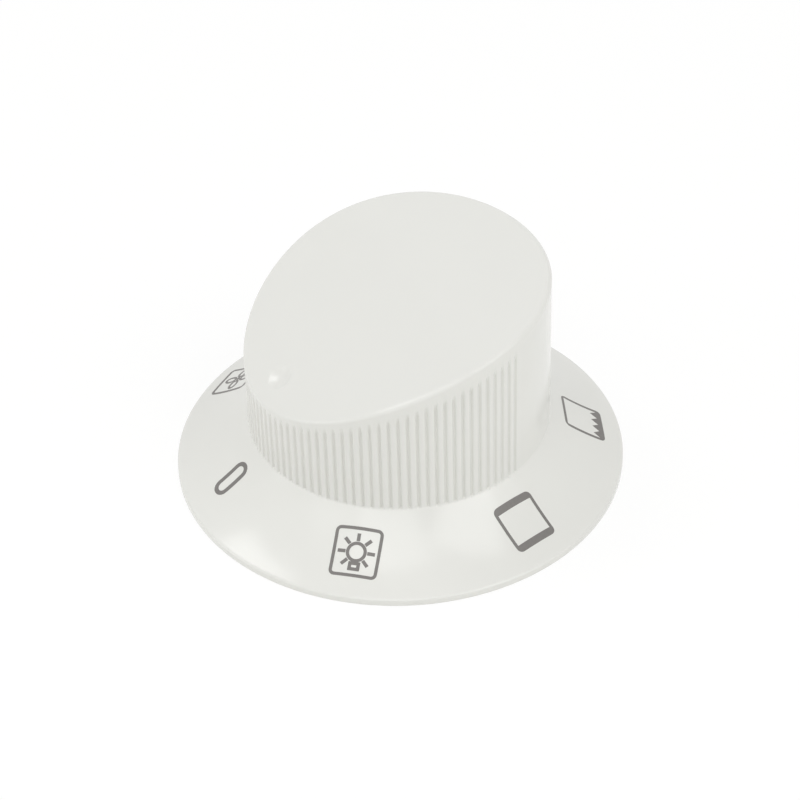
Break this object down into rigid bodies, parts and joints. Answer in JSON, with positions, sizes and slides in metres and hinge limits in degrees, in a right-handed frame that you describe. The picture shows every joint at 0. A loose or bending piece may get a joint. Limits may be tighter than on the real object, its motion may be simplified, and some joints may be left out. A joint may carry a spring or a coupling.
{
  "type": "oven control knob",
  "caption": "Skirted rotary control knob with a fluted round grip, a sloping arched top with a pointer dimple, a D-shaped spindle socket and a spring clip",
  "frame": {"origin": "on the spindle's axis, in the plane of the skirt's lower rim", "axes": "+Z along the spindle's axis, away from the oven's panel; -Y towards the low end of the top, with the pointer dimple"},
  "size_m": [0.066, 0.066, 0.0323],
  "materials": {
    "white_plastic": "glossy moulded white",
    "spring_steel": "rolled bright strip",
    "grey_print": "pad-printed grey ink"
  },
  "bodies": {
    "root": {"knob_body": "white_plastic", "spring_clip": "spring_steel"}
  },
  "joints": []
}
